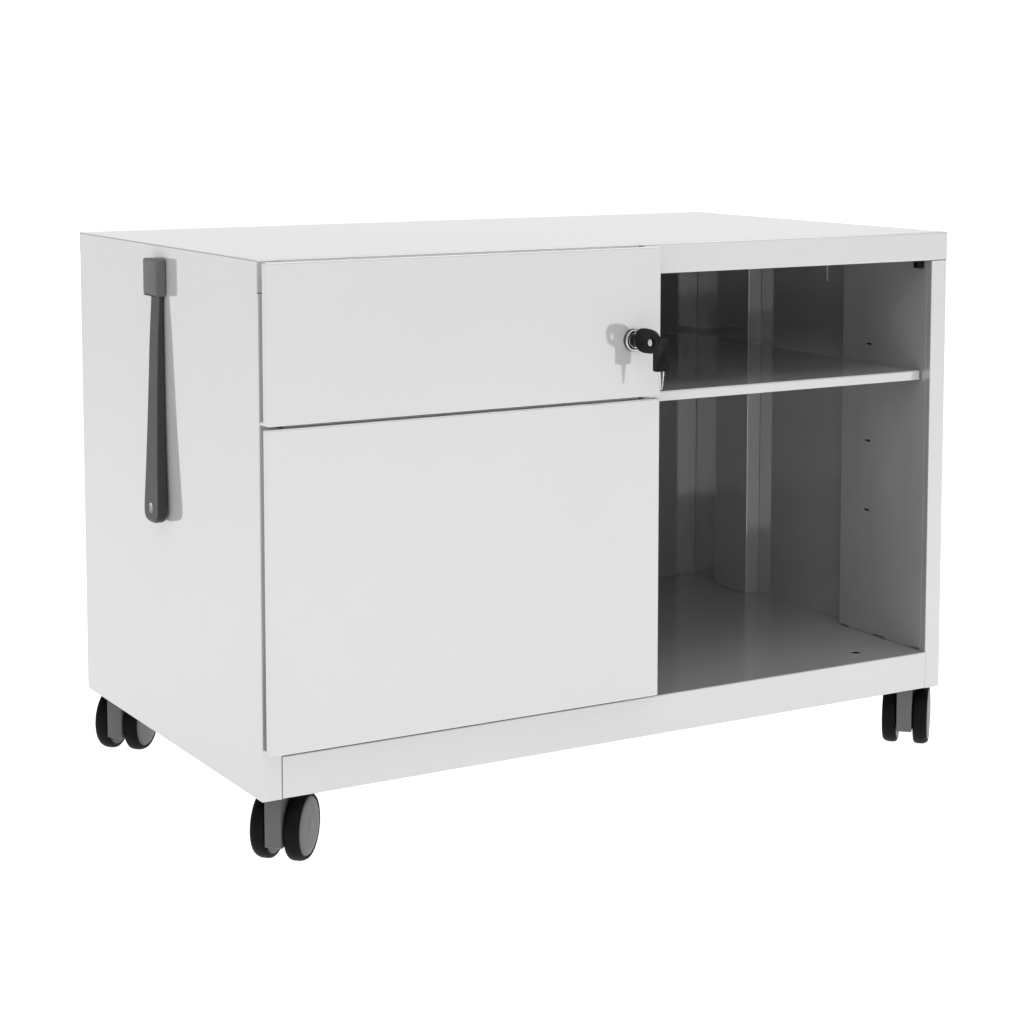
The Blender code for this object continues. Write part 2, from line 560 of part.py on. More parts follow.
def strap_section(height):
    """Back and outer face of the strap at a height, ahead of the side panel."""
    share = max(0.0, min(1.0, (BRACKET_LOW - height) / (BRACKET_LOW - HANDLE_END)))
    outer = STRAP_FACE + (HANDLE_PROUD - STRAP_FACE) * share ** 0.85
    return STRAP_BACK[0] + STRAP_BACK[1] * share ** 2, outer


strap = turn(turn(flat_mesh("strap", strap_outline(), 1.0), "X", 90), "Z", 90)
for vertex in strap.vertices:
    inner, outer = strap_section(vertex.co.z)
    vertex.co.x = -inner if vertex.co.x > 0 else -outer
strap = moved(strap, (-HANDLE_PIVOT[0], 0, -HANDLE_PIVOT[1]))
handle = new_object("pull_handle", strap, black, place=(HANDLE_PIVOT[0], HANDLE_MIDDLE, HANDLE_PIVOT[1]))
slit_from = HANDLE_END - HANDLE_PIVOT[1]
cut(handle, box_mesh((-0.020, -SLIT[0], slit_from + SLIT[1]), (0.020, SLIT[0], slit_from + SLIT[2])))

# ---- Castors: plate and stem, housing with stub axles, two wheels ----
WHEEL_IN, WHEEL_OUT, WHEEL_FLOOR = 0.00875, 0.0254, 0.0238
HUB_BORE = 0.0044
STEM_RADIUS, AXLE_RADIUS = 0.0045, 0.0040
PLATE_HALF, PLATE_UNDER = 0.0160, 0.0072
HOUSING_THICK, HOUSING_HALF = 0.016, 0.0130
HOUSING_TOP, HOUSING_FOOT, HOUSING_CHAMFER = 0.0045, -0.0570, 0.0025
HOUSING_NOSE = 0.0195    # radius around the axle
wheel_profile = [        # radius, and distance out from the castor's middle
    (0, WHEEL_OUT), (0.0200, WHEEL_OUT - 0.0003), (0.0276, WHEEL_OUT - 0.0012), (0.0290, WHEEL_OUT - 0.0010),
    TYRE_SHOULDER, (WHEEL_RADIUS, 0.0190), (WHEEL_RADIUS, 0.0130), (0.0318, 0.0105), (0.0300, WHEEL_IN),
    (HUB_BORE, WHEEL_IN), (HUB_BORE, WHEEL_FLOOR), (0, WHEEL_FLOOR)]
wheel_solid = turned_mesh("wheel", wheel_profile, WHEEL_STEPS)
turn(wheel_solid, "Z", 180 / WHEEL_STEPS + 90)
wheels = {"left": turn(wheel_solid.copy(), "X", -90), "right": turn(wheel_solid.copy(), "X", 90)}
for wheel in wheels.values():
    wheel.materials.append(tyre_black)
plate_solid = box_mesh((-PLATE_HALF, -PLATE_HALF, PLATE_UNDER), (PLATE_HALF, PLATE_HALF, RAIL_UNDER - GAP))
housing_line = ([(-HOUSING_HALF, HOUSING_TOP), (-HOUSING_HALF, HOUSING_FOOT + HOUSING_CHAMFER),
                 (-HOUSING_HALF + HOUSING_CHAMFER, HOUSING_FOOT)]
                + arc((TRAIL, AXLE_HEIGHT), HOUSING_NOSE, -90, 75, 10) + [(HOUSING_HALF, HOUSING_TOP)])
housing_solid = turn(flat_mesh("housing", housing_line, HOUSING_THICK), "X", 90)
for end, along in (("front", PIVOT[1]), ("rear", DEPTH - PIVOT[1])):
    for side, across in (("left", PIVOT[0]), ("right", WIDTH - PIVOT[0])):
        name = f"castor_{end}_{side}"
        pivot = bpy.data.objects.new(f"{name}_pivot", None)
        parts.objects.link(pivot)
        pivot.parent = corner
        pivot.location = (across, along, 0)
        pivot.rotation_euler.z = math.radians(CASTOR_TURN)
        plate = new_object(f"{name}_plate", plate_solid.copy(), zinc, place=(across, along, 0))
        join(plate, rod_mesh(STEM_RADIUS, -0.0150, 0.0080))
        housing = new_object(f"{name}_housing", housing_solid.copy(), grey, parent=pivot)
        cut(housing, rod_mesh(STEM_RADIUS + 0.0005, -0.0160, 0.0100))
        axle = moved(turn(rod_mesh(AXLE_RADIUS, -0.0234, 0.0234), "X", 90), (TRAIL, 0, AXLE_HEIGHT))
        join(housing, axle)
        for hand, mesh in wheels.items():
            new_object(f"{name}_wheel_{hand}", mesh, place=(TRAIL, 0, AXLE_HEIGHT), parent=pivot)
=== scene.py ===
import math

import bmesh
import bpy
from mathutils import Matrix, Vector


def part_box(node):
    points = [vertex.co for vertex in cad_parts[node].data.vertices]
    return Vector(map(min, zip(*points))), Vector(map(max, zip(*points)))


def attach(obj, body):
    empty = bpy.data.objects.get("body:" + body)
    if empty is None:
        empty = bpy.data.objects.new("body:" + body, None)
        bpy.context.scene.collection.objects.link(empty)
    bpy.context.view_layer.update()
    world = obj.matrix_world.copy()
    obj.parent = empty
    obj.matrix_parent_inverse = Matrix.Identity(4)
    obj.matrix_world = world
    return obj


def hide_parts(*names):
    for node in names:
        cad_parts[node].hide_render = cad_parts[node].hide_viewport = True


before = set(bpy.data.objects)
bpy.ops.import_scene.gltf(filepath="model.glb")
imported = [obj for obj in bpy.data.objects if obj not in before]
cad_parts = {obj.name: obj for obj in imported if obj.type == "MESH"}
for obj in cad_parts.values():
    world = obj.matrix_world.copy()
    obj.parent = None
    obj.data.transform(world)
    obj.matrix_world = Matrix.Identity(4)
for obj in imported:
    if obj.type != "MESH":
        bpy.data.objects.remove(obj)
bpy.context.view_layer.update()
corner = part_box("left_side_panel")[0]      # front, left, lower corner of the steel case
scene = bpy.context.scene


# ---- Where it stands -------------------------------------------------------------------------
# A plain white studio floor that runs on into a white surround, brightest near the horizon, so
# nothing stands behind the cabinet. Soft lights hang to the front left and overhead, and a narrow
# strip between them picks out the folded edges.
camera = bpy.data.objects.new("camera", bpy.data.cameras.new("camera"))
scene.collection.objects.link(camera)
camera.data.sensor_width = 36.0
camera.data.lens = 79.06
camera.data.shift_y = -0.200
camera.location = corner + Vector((-0.8093, -1.8312, 0.6429))
camera.rotation_euler = (math.radians(84.517), 0.0, math.radians(-30.338))
scene.camera = camera
scene.view_settings.view_transform = "Standard"

FLOOR_HALF = 14.0
floor_mesh = bpy.data.meshes.new("studio_floor")
floor_mesh.from_pydata([(-FLOOR_HALF, -FLOOR_HALF, -0.0004), (FLOOR_HALF, -FLOOR_HALF, -0.0004),
                        (FLOOR_HALF, FLOOR_HALF, -0.0004), (-FLOOR_HALF, FLOOR_HALF, -0.0004)],
                       [], [(0, 1, 2, 3)])
studio_floor = bpy.data.objects.new("studio_floor", floor_mesh)
scene.collection.objects.link(studio_floor)
floor_paint = bpy.data.materials.new("studio_floor")
floor_paint.use_nodes = True
floor_shader = floor_paint.node_tree.nodes["Principled BSDF"]
floor_shader.inputs["Base Color"].default_value = (0.45, 0.45, 0.45, 1.0)
floor_shader.inputs["Roughness"].default_value = 0.75
floor_shader.inputs["Specular IOR Level"].default_value = 0.1
floor_shader.inputs["Emission Color"].default_value = (1.0, 1.0, 1.0, 1.0)
floor_shader.inputs["Emission Strength"].default_value = 1.00
floor_mesh.materials.append(floor_paint)


class Wire:
    """A socket in a material. Sums written with it turn into nodes."""

    def __init__(self, tree, socket=None):
        self.tree = tree
        self.socket = socket

    def node(self, kind, settings, feeds, out=0):
        """A node of one kind: its settings first, then a value or a wire for each socket."""
        made = self.tree.nodes.new(kind)
        for name, value in settings.items():
            if name == "stops":
                ramp = made.color_ramp.elements
                while len(ramp) < len(value):
                    ramp.new(0.5)
                for stop, (position, colour) in zip(ramp, value):
                    stop.position = position
                    stop.color = (*colour, 1.0)
            else:
                setattr(made, name, value)
        for name, value in feeds.items():
            if isinstance(value, Wire):
                self.tree.links.new(value.socket, made.inputs[name])
            else:
                made.inputs[name].default_value = value
        return Wire(self.tree, made.outputs[out])

    def maths(self, operation, *values):
        return self.node("ShaderNodeMath", {"operation": operation}, dict(enumerate(values)))

    def __add__(self, other):
        return self.maths("ADD", self, other)

    def __sub__(self, other):
        return self.maths("SUBTRACT", self, other)

    def __rsub__(self, other):
        return self.maths("SUBTRACT", other, self)

    def __mul__(self, other):
        return self.maths("MULTIPLY", self, other)

    def __truediv__(self, other):
        return self.maths("DIVIDE", self, other)

    __radd__ = __add__
    __rmul__ = __mul__

    def limited(self):
        return self.node("ShaderNodeClamp", {}, {0: self})

    def into(self, shader, name):
        self.tree.links.new(self.socket, shader.inputs[name])


surround = bpy.data.worlds.new("surround")
scene.world = surround
surround.use_nodes = True
sky = Wire(surround.node_tree)
plain_sky = surround.node_tree.nodes["Background"]
way_up = sky.node("ShaderNodeTexCoord", {}, {}, "Generated")
height_up = sky.node("ShaderNodeSeparateXYZ", {}, {0: way_up}, "Z")
(0.26 + (1.15 - height_up / 0.45).limited() * 0.66).into(plain_sky, "Strength")
bright = sky.node("ShaderNodeBackground", {}, {"Color": (1.0, 1.0, 1.0, 1.0), "Strength": 1.3})
looking = sky.node("ShaderNodeLightPath", {}, {}, "Is Camera Ray")
chosen = sky.node("ShaderNodeMixShader", {}, {
    0: looking, 1: Wire(sky.tree, plain_sky.outputs[0]), 2: bright})
chosen.into(surround.node_tree.nodes["World Output"], "Surface")
plain_sky.inputs["Color"].default_value = (1.0, 1.0, 1.0, 1.0)


def soft_light(name, place, aim, size, power):
    """A rectangular soft box, aimed at a point."""
    lamp = bpy.data.lights.new(name, "AREA")
    lamp.shape = "RECTANGLE"
    lamp.size, lamp.size_y = size
    lamp.energy = power
    stand = bpy.data.objects.new(name, lamp)
    scene.collection.objects.link(stand)
    stand.location = place
    stand.rotation_euler = (Vector(aim) - Vector(place)).to_track_quat("-Z", "Y").to_euler()


soft_light("front_left_light", (-1.9, -3.0, 2.9), (0.1, 0.0, 0.3), (3.2, 2.4), 44.0)
soft_light("strip_light", (0.9, -0.9, 2.7), (0.2, 0.0, 0.3), (3.6, 0.5), 13.0)
soft_light("top_light", (0.2, 0.1, 3.0), (0.2, 0.1, 0.0), (4.6, 4.0), 66.0)


# ---- Side panels -----------------------------------------------------------------------------
# Each is one 1 mm steel sheet, folded round the front and rear edges into 20 mm flanges and
# powder coated in glossy white. Faces inside the case get a grey copy of the same coat: painted shade.
SHEET = 0.001


def new_finish(name):
    """An empty material with its shader and a wire to start from."""
    finish = bpy.data.materials.new(name)
    finish.use_nodes = True
    return finish, finish.node_tree.nodes["Principled BSDF"], Wire(finish.node_tree)


def noise(wire, place, size, detail=2.0):
    """Soft random patches about this size, in metres."""
    return wire.node("ShaderNodeTexNoise", {}, {
        "Vector": place, "Scale": 1.0 / size, "Detail": detail})


def between(wire, mask, low, high):
    """A colour that goes from low to high with the mask."""
    return wire.node("ShaderNodeMix", {"data_type": "RGBA"}, {
        0: mask, 6: (*low, 1.0), 7: (*high, 1.0)}, 2)


def enamel(name, colour, gloss, dust):
    """Powder coat: gloss and tone drift slowly, with a fine orange peel and dust low down."""
    finish, shader, wire = new_finish(name)
    place = wire.node("ShaderNodeTexCoord", {}, {}, "Object")
    height = wire.node("ShaderNodeSeparateXYZ", {}, {0: place}, "Z")
    drift = noise(wire, place, 0.22, 3.0)
    smear = noise(wire, place, 0.045, 4.0)
    peel = noise(wire, place, 0.0016, 1.0)
    wave = noise(wire, place, 0.12, 1.0)
    low_down = (1.0 - (height - 0.07) / 0.10).limited() * smear
    darker = tuple(part * (0.955 - dust) for part in colour)
    tone = (drift * 0.7 + smear * 0.3 - low_down * 0.35).limited()
    lighter = tuple(min(1.0, part * 1.02) for part in colour)
    between(wire, tone, darker, lighter).into(shader, "Base Color")
    (gloss * 0.8 + smear * gloss * 0.4 + low_down * 0.10).into(shader, "Roughness")
    lift = peel * 0.000004 + wave * 0.00012
    bump = wire.node("ShaderNodeBump", {}, {"Strength": 1.0, "Distance": 1.0, "Height": lift})
    bump.into(shader, "Normal")
    shader.inputs["IOR"].default_value = COAT_IOR
    return finish


COAT_IOR = 2.6             # a coat that mirrors strongly
white_coat = enamel("white_powder_coat", (0.50, 0.50, 0.505), 0.06, 0.02)
# The white coat again in grey, for faces inside the case: painted shade for the dim bays.
painted_shade_coat = enamel("painted_shade_powder_coat", (0.30, 0.30, 0.303), 0.07, 0.03)


def strip_width(face):
    """How wide a face is if it is a long strip, such as a sheet's cut edge."""
    return face.calc_area() / (0.5 * sum(edge.calc_length() for edge in face.edges))


def merged_copy(node):
    """A CAD solid's faces, joined up again so that its edges can be rounded."""
    shape = bmesh.new()
    shape.from_mesh(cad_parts[node].data)
    bmesh.ops.remove_doubles(shape, verts=shape.verts, dist=0.00001)
    bmesh.ops.dissolve_limit(
        shape, angle_limit=math.radians(1.0), verts=shape.verts, edges=shape.edges)
    return shape


def evaluated(carrier):
    """A plain mesh of an object with its modifiers applied. The object itself goes."""
    done = bpy.data.meshes.new_from_object(
        carrier.evaluated_get(bpy.context.evaluated_depsgraph_get()))
    carrier.modifiers.clear()
    bpy.data.objects.remove(carrier, do_unlink=True)
    return done


def made_mesh(name, shape, modifiers=()):
    """A plain mesh from a shape, with modifiers such as a bevel applied."""
    mesh = bpy.data.meshes.new(name)
    shape.to_mesh(mesh)
    shape.free()
    carrier = bpy.data.objects.new(name, mesh)
    scene.collection.objects.link(carrier)
    mesh.shade_smooth()
    for kind, settings in modifiers:
        step = carrier.modifiers.new(kind.title(), kind)
        for setting, value in settings.items():
            setattr(step, setting, value)
    return evaluated(carrier)


def piece(name, mesh, body, slot, finishes, *nodes):
    """A finished piece: on its body, in its finish, standing for CAD nodes."""
    thing = bpy.data.objects.new(name, mesh)
    scene.collection.objects.link(thing)
    mesh.materials.clear()
    for finish in finishes:
        mesh.materials.append(finish)
    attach(thing, body)
    if nodes:
        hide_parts(*nodes)


def sheet_mesh(node, fold=0.0014, rim=0.00018):
    """The sheet as the press leaves it: folds rounded, cut edges just broken."""
    shape = merged_copy(node)
    weights = shape.edges.layers.float.new("bevel_weight_edge")
    for edge in shape.edges:
        if len(edge.link_faces) != 2:
            continue
        bend = edge.calc_face_angle_signed(0.0)
        if abs(bend) < math.radians(25):
            continue
        cut_edge = min(strip_width(face) for face in edge.link_faces) < 1.4 * SHEET
        fold_share = 1.0 if bend > 0 else 0.30      # outer, and inner radius of the fold
        edge[weights] = rim / fold if cut_edge else fold_share
    return made_mesh(node, shape, [("BEVEL", {
        "width": fold, "limit_method": "WEIGHT", "segments": 4, "use_clamp_overlap": False}),
        ("WEIGHTED_NORMAL", {"weight": 100, "keep_sharp": True})])


def inside_where(mesh, test):
    """Give the faces that look into the case the piece's second finish, the grey coat that paints in
    their shade.
    """
    for face in mesh.polygons:
        face.material_index = 1 if test(face.center - corner, face.normal) else 0


for side, sign in (("left", 1), ("right", -1)):
    skin = sheet_mesh(f"{side}_side_panel")
    piece(f"{side}_side_skin", skin, "carcass", "outer_enamel", (white_coat, painted_shade_coat),
          f"{side}_side_panel")
    inside_where(skin, lambda place, way: way.x * sign > 0.5 and 0.0012 < place.y < 0.4608)

# ---- Top ---------------------------------------------------------------------------------------
# One sheet over the whole case, folded down 30 mm at the front into the fascia over the openings
# and 20 mm at the back. It carries the load, and its long front fold catches the light.
skin = sheet_mesh("top_panel", fold=0.0018)
piece("top_cover", skin, "carcass", "outer_enamel", (white_coat, painted_shade_coat), "top_panel")
# Its underside and the back of the fascia take the grey coat: painted shade.
inside_where(skin, lambda place, way: (
    way.z < -0.5 and place.z > 0.485 or way.y > 0.5 and place.y < 0.01))

# ---- Base --------------------------------------------------------------------------------------
# The floor of both bays and the plinths under it are one folded sheet, with a hole near the right
# front for a levelling key. A black cup under the hole paints in the shade below it.
skin = sheet_mesh("base_panel")
piece("base_floor", skin, "carcass", "outer_enamel", (white_coat, painted_shade_coat), "base_panel")
# The faces of the bay floors take the grey coat: painted shade.
inside_where(skin, lambda place, way: abs(way.z) > 0.6 and place.z > 0.035)


def turned(profile, steps, sharp=28.0):
    """A closed or open profile of (radius, height), turned about the Z axis."""
    shape = bmesh.new()
    rings = []
    for radius, height in profile:
        if radius == 0:
            rings.append([shape.verts.new((0, 0, height))] * steps)
            continue
        angles = [2 * math.pi * step / steps for step in range(steps)]
        rings.append([shape.verts.new((radius * math.cos(angle), radius * math.sin(angle), height))
                      for angle in angles])
    for first, second in zip(rings, rings[1:]):
        for step in range(steps):
            after = (step + 1) % steps
            around = [first[step], first[after], second[after], second[step]]
            corners = list(dict.fromkeys(around))
            if len(corners) > 2:
                shape.faces.new(corners)
    bmesh.ops.recalc_face_normals(shape, faces=shape.faces)
    mesh = made_mesh("turned", shape)
    mesh.set_sharp_from_angle(angle=math.radians(sharp))
    return mesh


def moulded(name, colour, roughness, grain, scuff=0.25, shine=0.3):
    """Moulded plastic or rubber: a fine spark-eroded grain, and patches of handling shine."""
    finish, shader, wire = new_finish(name)
    place = wire.node("ShaderNodeTexCoord", {}, {}, "Object")
    pits = wire.node("ShaderNodeTexVoronoi", {"feature": "SMOOTH_F1"}, {
        "Vector": place, "Scale": 1.0 / grain})
    speck = noise(wire, place, grain * 0.7, 3.0)
    patch = noise(wire, place, 0.016, 3.0)
    tone = (patch * 0.6 + speck * 0.4).limited()
    between(wire, tone, tuple(part * (1 - scuff) for part in colour),
            tuple(part * (1 + scuff) for part in colour)).into(shader, "Base Color")
    (roughness * 0.85 + patch * roughness * 0.3).into(shader, "Roughness")
    lift = pits * 0.00003 + speck * 0.00002
    bump = wire.node("ShaderNodeBump", {}, {"Strength": 0.8, "Distance": 1.0, "Height": lift})
    bump.into(shader, "Normal")
    shader.inputs["Specular IOR Level"].default_value = shine
    return finish


black_plastic = moulded("black_plastic", (0.006, 0.006, 0.0064), 0.42, 0.0006, 0.25, 0.14)
# A black cup under the hole: painted shade for the space below the case.
cup = turned([(0, 0.0300), (0.0068, 0.0300), (0.0070, 0.0302), (0.0070, 0.0378), (0.0085, 0.0380),
              (0.0087, 0.0382), (0.0087, 0.0388), (0.0062, 0.0388), (0.0060, 0.0310), (0, 0.0310)], 32)
HOLE = Vector((0.714, 0.037, 0.0))
cup.transform(Matrix.Translation(corner + HOLE))
piece("levelling_hole_shade_cup", cup, "carcass", "black_plastic", (black_plastic,))

# ---- Back panel --------------------------------------------------------------------------------
# A flat sheet behind the bays, held to the rear flanges by a row of blind rivets on each side and
# along the top and bottom. A bead of sealer fills its seam with the bay's floor.
skin = sheet_mesh("back_panel")
piece("back_sheet", skin, "carcass", "outer_enamel", (white_coat, painted_shade_coat), "back_panel")
# Its face towards the bays takes the grey coat: painted shade.
inside_where(skin, lambda place, way: way.y < -0.5)


def setting_out():
    """Node tree: a small part set out in rows, each copy spun at random about its own axis."""
    tree = bpy.data.node_groups.new("setting_out", "GeometryNodeTree")
    names = {}
    for label, kind in (("Part", "Geometry"), ("Finish", "Material"), ("Facing", "Vector"),
                        ("Start", "Vector"), ("Count", "Int"), ("Step", "Vector"), ("Rows", "Int"),
                        ("Row Step", "Vector")):
        socket = tree.interface.new_socket(label, in_out="INPUT", socket_type=f"NodeSocket{kind}")
        names[label] = socket.identifier
    tree.interface.new_socket("Parts", in_out="OUTPUT", socket_type="NodeSocketGeometry")
    wire = Wire(tree)
    given = tree.nodes.new("NodeGroupInput").outputs
    fed = {label: Wire(tree, given[label]) for label in names}
    row = wire.node("GeometryNodeMeshLine", {"mode": "OFFSET"}, {
        "Count": fed["Count"], "Offset": fed["Step"]})
    starts = wire.node("GeometryNodeMeshLine", {"mode": "OFFSET"}, {
        "Count": fed["Rows"], "Start Location": fed["Start"], "Offset": fed["Row Step"]})
    rows = wire.node("GeometryNodeInstanceOnPoints", {}, {"Points": starts, "Instance": row})
    places = wire.node("GeometryNodeRealizeInstances", {}, {"Geometry": rows})
    copies = wire.node("GeometryNodeInstanceOnPoints", {}, {
        "Points": places, "Instance": fed["Part"], "Rotation": fed["Facing"]})
    spin = wire.node("FunctionNodeRandomValue", {"data_type": "FLOAT_VECTOR"}, {
        0: (0.0, 0.0, 0.0), 1: (0.0, 0.0, 2 * math.pi), "Seed": 11})
    spun = wire.node("GeometryNodeRotateInstances", {}, {"Instances": copies, "Rotation": spin})
    solid = wire.node("GeometryNodeRealizeInstances", {}, {"Geometry": spun})
    coated = wire.node("GeometryNodeSetMaterial", {}, {
        "Geometry": solid, "Material": fed["Finish"]})
    tree.links.new(coated.socket, tree.nodes.new("NodeGroupOutput").inputs["Parts"])
    return tree, names


ROW_TREE, ROW_INPUTS = setting_out()


def set_out(part, finish, grids):
    """One mesh of a small part over grids of (facing, start, count, step, rows, row step)."""
    gathered = bmesh.new()
    for grid in grids:
        carrier = bpy.data.objects.new("set_out", part)
        scene.collection.objects.link(carrier)
        rows = carrier.modifiers.new("Rows", "NODES")
        rows.node_group = ROW_TREE
        rows[ROW_INPUTS["Finish"]] = finish
        for label, value in zip(("Facing", "Start", "Count", "Step", "Rows", "Row Step"), grid):
            rows[ROW_INPUTS[label]] = value
        gathered.from_mesh(evaluated(carrier))
    return made_mesh("set_out", gathered)


blind_rivet = turned([(0, 0.0006), (0.0008, 0.0006), (0.0010, 0.0010), (0.0019, 0.0009),
                      (0.0027, 0.0005), (0.0031, 0.0001), (0.0031, -0.0004), (0, -0.0004)], 20)
CASE_DEPTH = 0.462
rear = corner + Vector((0.0, CASE_DEPTH, 0.0))
BACKWARDS = (math.radians(-90), 0.0, 0.0)
NO_STEP = (0.0, 0.0, 0.0)
grids = [(BACKWARDS, rear + Vector((0.0105, 0, 0.056)), 2, (0.779, 0, 0), 6, (0, 0, 0.078))]
for height in (0.484, 0.030):
    grids.append((BACKWARDS, rear + Vector((0.085, 0, height)), 7, (0.105, 0, 0), 1, NO_STEP))
rivets = set_out(blind_rivet, white_coat, grids)
piece("back_rivets", rivets, "carcass", "outer_enamel", (white_coat,))


def loft(rings):
    """A closed shape through outlines of the same count, and the two faces that end it."""
    shape = bmesh.new()
    layers = [[shape.verts.new(point) for point in ring] for ring in rings]
    for first, second in zip(layers, layers[1:]):
        for step in range(len(first)):
            after = (step + 1) % len(first)
            shape.faces.new((first[step], first[after], second[after], second[step]))
    ends = [shape.faces.new(layers[0]), shape.faces.new(layers[-1])]
    bmesh.ops.recalc_face_normals(shape, faces=shape.faces)
    return shape, ends


hollow = [(0, 0), (0, 0.0021), (-0.0003, 0.0016), (-0.0007, 0.0010), (-0.0012, 0.0006),
          (-0.0019, 0.0003), (-0.0026, 0)]
seam = corner + Vector((0.4203, 0.4597, 0.0400))
SEAM_LENGTH = 0.3594
seal = made_mesh("floor_seam_seal", loft([
    [seam + Vector((reach, y, z)) for y, z in hollow] for reach in (0.0, SEAM_LENGTH)])[0])
seal.set_sharp_from_angle(angle=math.radians(50))
# The bead has the grey coat of painted shade.
piece("floor_seam_seal", seal, "carcass", "inner_enamel", (painted_shade_coat,))

# ---- Divider, liner and posts ------------------------------------------------------------------
# The wall between drawers and bay is a folded skin over a plain liner. Two posts inside each side
# panel stiffen it and carry the slots for the shelf clips. All are spot welded and given the grey
# coat all over, as painted shade. A slim hanger is folded out of the right side panel between its posts.
FOOT_SLOTS = ((0.0115, 0.0240), (0.0680, 0.0880), (0.1300, 0.1480))
SLOT_HEIGHT, SLOT_TALL, SLOT_DEEP = 0.0410, 0.0012, 0.006
POST_FACE = 0.780
for node in ("divider_panel", "divider_liner", "front_post_left", "front_post_right",
             "rear_post_left", "rear_post_right"):
    skin = sheet_mesh(node)
    if node == "front_post_right":
        slots = bmesh.new()
        for start, end in FOOT_SLOTS:
            middle = corner + Vector((POST_FACE, (start + end) / 2, SLOT_HEIGHT))
            size = Matrix.Diagonal((SLOT_DEEP, end - start, SLOT_TALL, 1.0))
            bmesh.ops.create_cube(slots, size=1.0, matrix=Matrix.Translation(middle) @ size)
        cutter = bpy.data.objects.new("foot_slots", made_mesh("foot_slots", slots))
        scene.collection.objects.link(cutter)
        shape = bmesh.new()
        shape.from_mesh(skin)
        skin = made_mesh(node, shape, [("BOOLEAN", {
            "operation": "DIFFERENCE", "object": cutter, "solver": "EXACT"})])
        bpy.data.objects.remove(cutter, do_unlink=True)
        skin.set_sharp_from_angle(angle=math.radians(35))
    piece(f"{node}_sheet", skin, "carcass", "inner_enamel", (painted_shade_coat,), node)

hanger = [(0, 0.4270), (0.0009, 0.4262), (0.0013, 0.4270), (0.0013, 0.4900), (0, 0.4900)]
shape = loft([[corner + Vector((0.7988 - depth, 0.2010 + along, height))
               for along, height in hanger] for depth in (0.0, 0.0015)])[0]
hanger_mesh = made_mesh("bay_hanger", shape, [("BEVEL", {"width": 0.0002, "segments": 2})])
piece("bay_hanger", hanger_mesh, "carcass", "outer_enamel", (white_coat,))

# ---- Shelf -------------------------------------------------------------------------------------
# A shallow folded tray laid upside down on four clips. Its lip faces the front in the outer white;
# the rest of the same sheet has the grey coat, as painted shade.
skin = sheet_mesh("shelf", fold=0.0016)
piece("shelf_tray", skin, "carcass", "outer_enamel", (white_coat, painted_shade_coat), "shelf")
inside_where(skin, lambda place, way: not (way.y < -0.35 and place.y < 0.018))

# ---- Drawer fronts -----------------------------------------------------------------------------
# Each front is a pressed sheet folded back all round, with a finger groove behind its side edges,
# and coated like the case. The upper one carries the lock.
for level in ("upper", "lower"):
    skin = sheet_mesh(f"{level}_front", fold=0.0018)
    piece(f"{level}_drawer_face", skin, f"{level}_drawer", "outer_enamel", (white_coat,),
          f"{level}_front")

# ---- Drawer boxes ------------------------------------------------------------------------------
# Folded and welded boxes, open above, in a satin grey coat. Each has a stud on its right side for
# the lock bar to catch.
grey_coat = enamel("drawer_grey_coat", (0.42, 0.42, 0.43), 0.34, 0.03)
for level in ("upper", "lower"):
    piece(f"{level}_drawer_box", sheet_mesh(f"{level}_box"), f"{level}_drawer", "inner_enamel",
          (grey_coat,), f"{level}_box")


# ---- Slides, rails and clips -------------------------------------------------------------------
# Zinc-plated strip, roll formed or folded: three nested channels on each side of each drawer, with
# steel balls between them and flat rivets to the case, two rails under the floor that carry the
# castors, and the four hooked shelf clips.
def plated(name, colour, gloss, grain=(1.0, 0.02, 1.0)):
    """Bright metal plate: rolling marks along one way, cloudy patches and a faint spangle."""
    finish, shader, wire = new_finish(name)
    place = wire.node("ShaderNodeTexCoord", {}, {}, "Object")
    drawn = wire.node("ShaderNodeMapping", {}, {"Vector": place, "Scale": grain})
    marks = noise(wire, drawn, 0.0011, 3.0)
    cloud = noise(wire, place, 0.018, 4.0)
    flower = wire.node("ShaderNodeTexVoronoi", {"feature": "F1"}, {
        "Vector": place, "Scale": 160.0}, "Color")
    flake = wire.node("ShaderNodeSeparateColor", {}, {0: flower})
    tone = (cloud * 0.6 + flake * 0.25 + marks * 0.25).limited()
    between(wire, tone, tuple(part * 0.78 for part in colour), colour).into(shader, "Base Color")
    (gloss + cloud * 0.16 + marks * 0.08).into(shader, "Roughness")
    lift = marks * 0.000012
    bump = wire.node("ShaderNodeBump", {}, {"Strength": 1.0, "Distance": 1.0, "Height": lift})
    bump.into(shader, "Normal")
    shader.inputs["Metallic"].default_value = 1.0
    return finish


zinc_plate = plated("zinc_plate", (0.66, 0.67, 0.69), 0.22)
SLIDE_BODIES = {"outer": "carcass", "middle": "{}_slides", "inner": "{}_drawer"}
for level in ("upper", "lower"):
    for member, body in SLIDE_BODIES.items():
        for side in ("left", "right"):
            node = f"{level}_slide_{member}_{side}"
            piece(f"{node}_channel", sheet_mesh(node, fold=0.0012), body.format(level), "zinc_steel",
                  (zinc_plate,), node)
BALL_RADIUS, BALL_PITCH, BALL_COUNT = 0.0008, 0.0062, 60
ball_arc = [(BALL_RADIUS * math.cos(math.radians(angle)),
             BALL_RADIUS * math.sin(math.radians(angle))) for angle in range(-60, 61, 30)]
ball = turned([(0, -BALL_RADIUS), *ball_arc, (0, BALL_RADIUS)], 10, sharp=60.0)
NO_GRAIN = (1.0, 1.0, 1.0)
polished = plated("polished_steel", (0.72, 0.72, 0.74), 0.07, NO_GRAIN)
TRACKS = (-0.0204, -0.0174, 0.0174, 0.0204)
UPRIGHT = (0.0, 0.0, 0.0)
